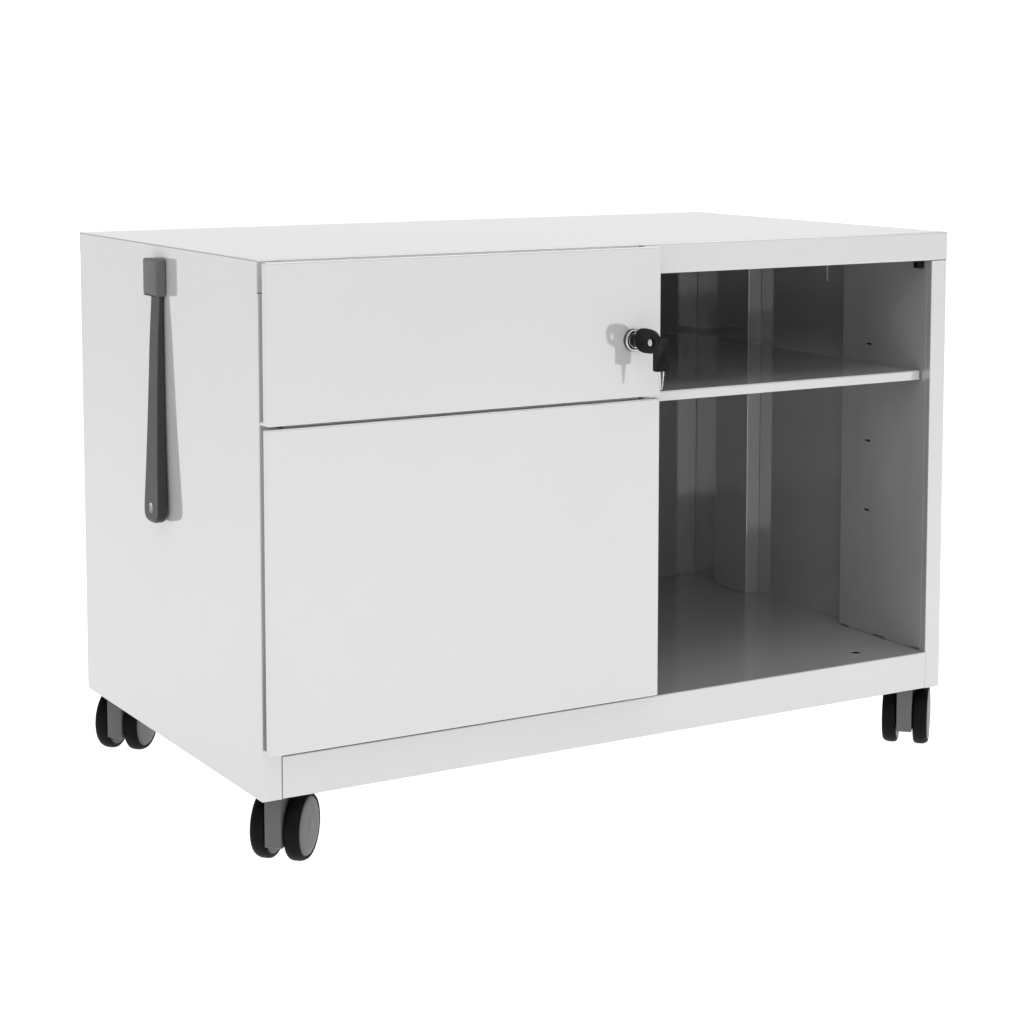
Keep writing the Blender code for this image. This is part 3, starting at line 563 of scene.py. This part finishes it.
for level, centre in (("upper", 0.375), ("lower", 0.180)):
    grids = []
    # The right slides go without their top outer row, where the lock bar's tab passes.
    for across, tracks in ((0.0262, TRACKS), (0.3938, TRACKS[:3])):
        for lift in tracks:
            start = corner + Vector((across, 0.026, centre + lift))
            grids.append((UPRIGHT, start, BALL_COUNT, (0.0, BALL_PITCH, 0.0), 1, NO_STEP))
    piece(f"{level}_slide_balls", set_out(ball, polished, grids), f"{level}_slides", "zinc_steel",
          (polished,))
slide_rivet = turned([(0, 0.0004), (0.0016, 0.0004), (0.0021, 0.0001), (0.0021, -0.0002),
                      (0, -0.0002)], 16)
RIGHTWARDS, LEFTWARDS = (0.0, math.radians(90), 0.0), (0.0, math.radians(-90), 0.0)
grids = [(way, corner + Vector((across, 0.060, 0.180)), 4, (0.0, 0.110, 0.0), 2, (0.0, 0.0, 0.195))
         for way, across in ((RIGHTWARDS, 0.0215), (LEFTWARDS, 0.3985))]
piece("slide_rivets", set_out(slide_rivet, zinc_plate, grids), "carcass", "zinc_steel", (zinc_plate,))
for node in ("castor_rail_left", "castor_rail_right"):
    piece(f"{node}_channel", sheet_mesh(node), "carcass", "zinc_steel", (zinc_plate,), node)
for place in ("front_left", "front_right", "rear_left", "rear_right"):
    node = f"shelf_clip_{place}"
    piece(f"{node}_hook", sheet_mesh(node, fold=0.0012), "carcass", "zinc_steel", (zinc_plate,), node)


# ---- Lock --------------------------------------------------------------------------------------
# A cam lock through the upper front: a chrome bezel with two bright rims, the groove between them
# dark nickel as painted shade, on a dark nickel barrel; plug with its keyway, cam, and the
# zinc-plated bar beside the divider that it drives.
def rounded_mesh(node, width, segments=3):
    """A moulded or turned CAD solid, its outer edges rounded and its inner corners left tight."""
    shape = merged_copy(node)
    weights = shape.edges.layers.float.new("bevel_weight_edge")
    for edge in shape.edges:
        bend = edge.calc_face_angle_signed(0.0) if len(edge.link_faces) == 2 else 0.0
        edge[weights] = 1.0 if bend > math.radians(30) else 0.0
    return made_mesh(node, shape, [("BEVEL", {
        "width": width, "limit_method": "WEIGHT", "segments": segments, "harden_normals": True}),
        ("TRIANGULATE", {"min_vertices": 5, "keep_custom_normals": True})])


lock_middle = (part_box("lock_plug")[0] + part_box("lock_plug")[1]) / 2
lock_line = (Matrix.Translation((lock_middle.x, corner.y, lock_middle.z))
             @ Matrix.Rotation(math.radians(90), 4, "X"))
chrome = plated("bright_nickel", (0.80, 0.80, 0.82), 0.08, NO_GRAIN)
dark_nickel_and_shade = plated("dark_nickel_and_shade", (0.10, 0.10, 0.105), 0.20, NO_GRAIN)
barrel = turned([(0.0066, -0.0033), (0.0094, -0.0033), (0.0094, 0.0093), (0.0109, 0.0093),
                 (0.0110, 0.0096), (0.0110, 0.0208), (0.0109, 0.0214), (0.0105, 0.0218),
                 (0.0104, 0.0222), (0.0101, 0.0228), (0.0097, 0.0230), (0.0091, 0.0229),
                 (0.0088, 0.0225), (0.0086, 0.0219), (0.0081, 0.0217), (0.0078, 0.0221),
                 (0.0076, 0.0226), (0.0071, 0.0227), (0.0067, 0.0224), (0.0066, 0.0218),
                 (0.0066, -0.0033)], 48)
barrel.transform(lock_line)
piece("lock_barrel_shell", barrel, "upper_drawer", "chrome", (chrome, dark_nickel_and_shade), "lock_barrel")
# The bezel's outer side and the barrel behind it are dark nickel; the groove between the rims is dark
# nickel as painted shade.
for face in barrel.polygons:
    place = lock_line.inverted() @ face.center
    outer_side, groove = place.xy.length > 0.01045, 0.0078 < place.xy.length < 0.0088
    face.material_index = 1 if outer_side or groove or place.z < 0.0215 else 0
piece("lock_plug_face", rounded_mesh("lock_plug", 0.0003), "lock_core", "chrome", (dark_nickel_and_shade,),
      "lock_plug")
piece("lock_cam_plate", rounded_mesh("lock_cam", 0.0002), "lock_core", "zinc_steel", (zinc_plate,),
      "lock_cam")
piece("lock_bar_strip", rounded_mesh("lock_bar", 0.0002), "lock_bar", "zinc_steel", (zinc_plate,),
      "lock_bar")


# ---- Keys --------------------------------------------------------------------------------------
# Two keys with moulded black heads on plated blades: one in the lock, and a spare that hangs from
# the rivet through its eye. A dark strip down the spare's blade is painted shade in its groove.
def plate_mesh(outline, plane, place, thick, rim, border=0.0, sunk=0.0):
    """A flat part from its outline in YZ or XZ, rims rounded, faces sunk inside a border."""
    rings = []
    for side in (-thick / 2, thick / 2):
        rings.append([place + Vector((side, along, up) if plane == "YZ" else (along, side, up))
                      for along, up in outline])
    shape, flats = loft(rings)
    if border:
        bmesh.ops.inset_individual(shape, faces=flats, thickness=border)
        bmesh.ops.inset_individual(shape, faces=flats, thickness=sunk, depth=-sunk)
    return made_mesh("plate", shape, [("BEVEL", {
        "width": rim, "limit_method": "ANGLE", "angle_limit": math.radians(50), "segments": 3,
        "harden_normals": True})])


def softened(points, radius, steps=5):
    """An outline with its corners rounded."""
    result = []
    for before, point, after in zip(points[-1:] + points[:-1], points, points[1:] + points[:1]):
        here = Vector(point)
        reach = min(radius, (Vector(before) - here).length / 2, (Vector(after) - here).length / 2)
        first = here + (Vector(before) - here).normalized() * reach
        last = here + (Vector(after) - here).normalized() * reach
        for step in range(steps + 1):
            share = step / steps
            result.append(tuple(
                first * (1 - share) ** 2 + here * 2 * share * (1 - share) + last * share ** 2))
    return result


key_place = Vector((lock_middle.x, corner.y, corner.z))
HEAD_MIDDLE, HEAD_HALF = (-0.0442, 0.4041), (0.0199, 0.0125)
HEAD_SQUARE = 0.74          # below 1 the oval fills out towards a rectangle
OVAL_STEPS = 56
oval = []
for step in range(OVAL_STEPS):
    angle = 2 * math.pi * step / OVAL_STEPS
    along, up = (math.copysign(abs(part) ** HEAD_SQUARE, part)
                 for part in (math.cos(angle), math.sin(angle)))
    taper = 1.0 - 0.05 * (1 - along)
    oval.append((HEAD_MIDDLE[0] + HEAD_HALF[0] * along, HEAD_MIDDLE[1] + HEAD_HALF[1] * taper * up))
HEAD_THICK, HEAD_RIM = 0.0034, 0.0007
BLADE_THICK, BLADE_RIM = 0.0019, 0.0002
piece("key_head", plate_mesh(oval, "YZ", key_place, HEAD_THICK, HEAD_RIM, 0.0021, 0.0003),
      "inserted_key", "black_plastic", (black_plastic,), "key")
blade = softened([(-0.0255, 0.3987), (-0.0255, 0.4067), (-0.0060, 0.4067), (-0.0046, 0.4050),
                  (-0.0046, 0.4010), (-0.0070, 0.3987), (-0.0100, 0.3996), (-0.0130, 0.3987),
                  (-0.0160, 0.3994), (-0.0190, 0.3987)], 0.0006)
piece("key_blade", plate_mesh(blade, "YZ", key_place, BLADE_THICK, BLADE_RIM, 0.0012, 0.0002),
      "inserted_key", "chrome", (chrome,))
piece("key_rivet_head", rounded_mesh("key_rivet", 0.0004), "inserted_key", "chrome", (chrome,),
      "key_rivet")
spare_place = Vector((lock_middle.x, corner.y - 0.0514, corner.z + 0.4033))
grip = softened([(0.0021, -0.0285), (0.0186, -0.0285), (0.0186, 0.0035), (0.0067, 0.0035),
                 (0.0067, -0.0030), (0.0021, -0.0030)], 0.0024)
piece("spare_key_head", plate_mesh(grip, "XZ", spare_place, HEAD_THICK, HEAD_RIM, 0.0016, 0.0003),
      "spare_key", "black_plastic", (black_plastic,), "spare_key")
eye = turned([(0.0019, 0.0020), (0.0033, 0.0020), (0.0036, 0.0023), (0.0036, 0.0050),
              (0.0033, 0.0053), (0.0019, 0.0053), (0.0019, 0.0020)], 28)
eye.transform(Matrix.Translation(spare_place) @ Matrix.Rotation(math.radians(90), 4, "Y"))
piece("spare_key_eye", eye, "spare_key", "black_plastic", (black_plastic,))
blade = softened([(0.0076, -0.0275), (0.0135, -0.0275), (0.0134, -0.0330), (0.0127, -0.0350),
                  (0.0130, -0.0370), (0.0122, -0.0390), (0.0124, -0.0410), (0.0116, -0.0440),
                  (0.0109, -0.0480), (0.0101, -0.0480), (0.0088, -0.0400)], 0.0005)
piece("spare_key_blade", plate_mesh(blade, "XZ", spare_place, BLADE_THICK, BLADE_RIM, 0.0012, 0.0003),
      "spare_key", "chrome", (chrome,))
# A dark nickel strip, a little thicker than the blade, paints the shade of the blade's groove.
groove = softened([(0.0088, -0.0280), (0.0124, -0.0280), (0.0118, -0.0380), (0.0108, -0.0460),
                   (0.0102, -0.0450)], 0.0004)
piece("spare_key_groove_shade", plate_mesh(groove, "XZ", spare_place, 0.0020, 0.00002), "spare_key",
      "chrome", (dark_nickel_and_shade,))

# ---- Corner stop -------------------------------------------------------------------------------
# A small black rubber block under the fascia's right end. It is pushed on from behind and shows
# only as a dark corner in the bay.
piece("corner_stop_block", rounded_mesh("corner_stop", 0.0008), "carcass", "black_plastic",
      (black_plastic,), "corner_stop")

# ---- Pull handle -------------------------------------------------------------------------------
# A black moulded strap that flares towards its lower end, where a slim bright eyelet is let in.
# It swings out of a grey moulded block that is screwed to the left side from within.
grey_plastic = moulded("grey_plastic", (0.105, 0.105, 0.109), 0.48, 0.0007, 0.10)
strap_plastic = moulded("strap_plastic", (0.028, 0.028, 0.029), 0.44, 0.0007, 0.12)
piece("handle_block", rounded_mesh("handle_bracket", 0.0019, 4), "carcass", "grey_plastic",
      (grey_plastic,), "handle_bracket")
BLOCK_LOW, STRAP_END = 0.4445, 0.2200
STRAP_NECK, STRAP_FLARE = 0.0116, 0.0067       # half width at the block, and what the end adds
STRAP_TIP, STRAP_BLUNT = 0.0130, 0.0040        # how far up the end is round from the front, side
STRAP_EDGE, EDGE_STEPS = 0.0013, 5
INSIDE_BLOCK = 0.425                           # above this the strap is slimmer, to swing clear
handle_place = Vector((corner.x, corner.y + 0.2325, corner.z))


def share_of(amount):
    """The amount, held between none and all."""
    return max(0.0, min(1.0, amount))


rings = []
for height in (0.4487, 0.4440, 0.4300, 0.4050, 0.3800, 0.3550, 0.3300, 0.3100, 0.2920, 0.2760,
               0.2620, 0.2500, 0.2400, 0.2340, 0.2300, 0.2270, 0.2245, 0.2228, 0.2215, 0.2206,
               0.2201):
    down = share_of((BLOCK_LOW - height) / (BLOCK_LOW - STRAP_END))
    flare = share_of((BLOCK_LOW - height) / (BLOCK_LOW - STRAP_END - 0.0183))
    tip = share_of((STRAP_END + STRAP_TIP - height) / STRAP_TIP)
    blunt = share_of((STRAP_END + STRAP_BLUNT - height) / STRAP_BLUNT)
    half = (STRAP_NECK + STRAP_FLARE * flare ** 2.5) * math.sqrt(max(0.0, 1.0 - tip ** 2.4))
    back = 0.0014 + 0.0019 * down ** 2
    face = (0.0052 if height > INSIDE_BLOCK else 0.0057) + 0.0078 * down ** 0.85
    thick = (face - back) * (0.30 + 0.70 * math.sqrt(1.0 - blunt ** 2))
    middle = (face + back) / 2
    radius = min(STRAP_EDGE, thick * 0.45, half * 0.45)
    ring = []
    for x_way, y_way, first in ((-1, 1, 0), (-1, -1, 90), (1, -1, 180), (1, 1, 270)):
        for step in range(EDGE_STEPS):
            angle = math.radians(first + step * 90 / (EDGE_STEPS - 1))
            y = y_way * (half - radius) + radius * math.cos(angle)
            x = -middle + x_way * (thick / 2 - radius) - radius * math.sin(angle)
            ring.append(handle_place + Vector((x, y, height)))
    rings.append(ring)
strap = made_mesh("strap", loft(rings)[0], [("WEIGHTED_NORMAL", {"keep_sharp": True})])
piece("handle_strap", strap, "pull_handle", "black_plastic", (strap_plastic,), "pull_handle")
inlay = softened([(-0.0032, 0.2270), (0.0032, 0.2270), (0.0032, 0.2402), (-0.0032, 0.2402)], 0.0031)
inlay_place = handle_place + Vector((-0.0083, 0.0, 0.0))
piece("handle_eyelet", plate_mesh(inlay, "YZ", inlay_place, 0.0098, 0.0006, 0.0012, 0.0003),
      "pull_handle", "chrome", (chrome,))

# ---- Castors -----------------------------------------------------------------------------------
# Four twin-wheel castors: a moulded grey housing on a plated stud and plate, held to the rails by
# four screws, and two wheels with black tyres on grey discs. They stand as they were last rolled.
tyre_rubber = moulded("tyre_rubber", (0.0035, 0.0035, 0.0035), 0.55, 0.0005, 0.25, 0.08)
disc_plastic = moulded("disc_plastic", (0.100, 0.100, 0.103), 0.42, 0.0006, 0.08)
CASTOR_TURN = math.radians(45)
TRAIL = 0.020
WHEEL_RADIUS = 0.0325 * math.cos(math.pi / 32)
tyre_profile = [(0.0281, 0.0236), (0.0287, 0.0242), (0.0295, 0.0240), (0.0305, 0.0230), (0.0314, 0.0215),
                (0.0320, 0.0198), (WHEEL_RADIUS, 0.0178), (WHEEL_RADIUS, 0.0135), (0.0321, 0.0116),
                (0.0315, 0.0102), (0.0305, 0.0092), (0.0292, 0.0088), (0.0281, 0.0092), (0.0281, 0.0236)]
disc_profile = [(0, 0.0252), (0.0060, 0.0252), (0.0066, 0.0251), (0.0140, 0.0251), (0.0200, 0.0249),
                (0.0240, 0.0246), (0.0262, 0.0242), (0.0272, 0.0237), (0.0279, 0.0229),
                (0.0279, 0.0090), (0.0044, 0.0090), (0.0044, 0.0238), (0, 0.0238)]
WHEEL_STEPS = 64
tyre_solid = turned(tyre_profile, WHEEL_STEPS)
disc_solid = turned(disc_profile, WHEEL_STEPS)
screw = turned([(0, 0.0010), (0.0011, 0.0010), (0.0013, 0.0013), (0.0020, 0.0011),
                (0.0026, 0.0005), (0.0027, 0), (0.0027, -0.0004), (0, -0.0004)], 18)
SCREW_OUT, PLATE_UNDER = 0.0122, 0.0072
FOOT_FROM = 0.0450          # the housing's foot is half as long below this, under the case's edge
DOWNWARDS = (math.radians(180), 0.0, 0.0)
grids = []
for end in ("front", "rear"):
    for side in ("left", "right"):
        name = f"castor_{end}_{side}"
        low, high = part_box(f"{name}_plate")
        stem = (low + high) / 2
        hub = (Matrix.Translation((stem.x, stem.y, 0)) @ Matrix.Rotation(CASTOR_TURN, 4, "Z")
               @ Matrix.Translation((TRAIL, 0, WHEEL_RADIUS)))
        for hand, tilt in (("left", -90), ("right", 90)):
            place = hub @ Matrix.Rotation(math.radians(tilt), 4, "X")
            tyre, disc = tyre_solid.copy(), disc_solid.copy()
            tyre.transform(place)
            disc.transform(place)
            body = f"{name}_{hand}_roll"
            piece(f"{name}_tyre_{hand}", tyre, body, "tyre", (tyre_rubber,), f"{name}_wheel_{hand}")
            piece(f"{name}_disc_{hand}", disc, body, "grey_plastic", (disc_plastic,))
        shell = rounded_mesh(f"{name}_housing", 0.0009)
        for vertex in shell.vertices:
            vertex.co.z += max(0.0, corner.z - FOOT_FROM - vertex.co.z) * 0.5
        piece(f"{name}_shell", shell, f"{name}_fork", "grey_plastic", (disc_plastic,),
              f"{name}_housing")
        piece(f"{name}_mount", rounded_mesh(f"{name}_plate", 0.0003), "carcass", "zinc_steel",
              (zinc_plate,), f"{name}_plate")
        start = Vector((stem.x - SCREW_OUT, stem.y - SCREW_OUT, corner.z + PLATE_UNDER))
        across, along = (2 * SCREW_OUT, 0.0, 0.0), (0.0, 2 * SCREW_OUT, 0.0)
        grids.append((DOWNWARDS, start, 2, across, 2, along))
piece("castor_screws", set_out(screw, zinc_plate, grids), "carcass", "zinc_steel", (zinc_plate,))
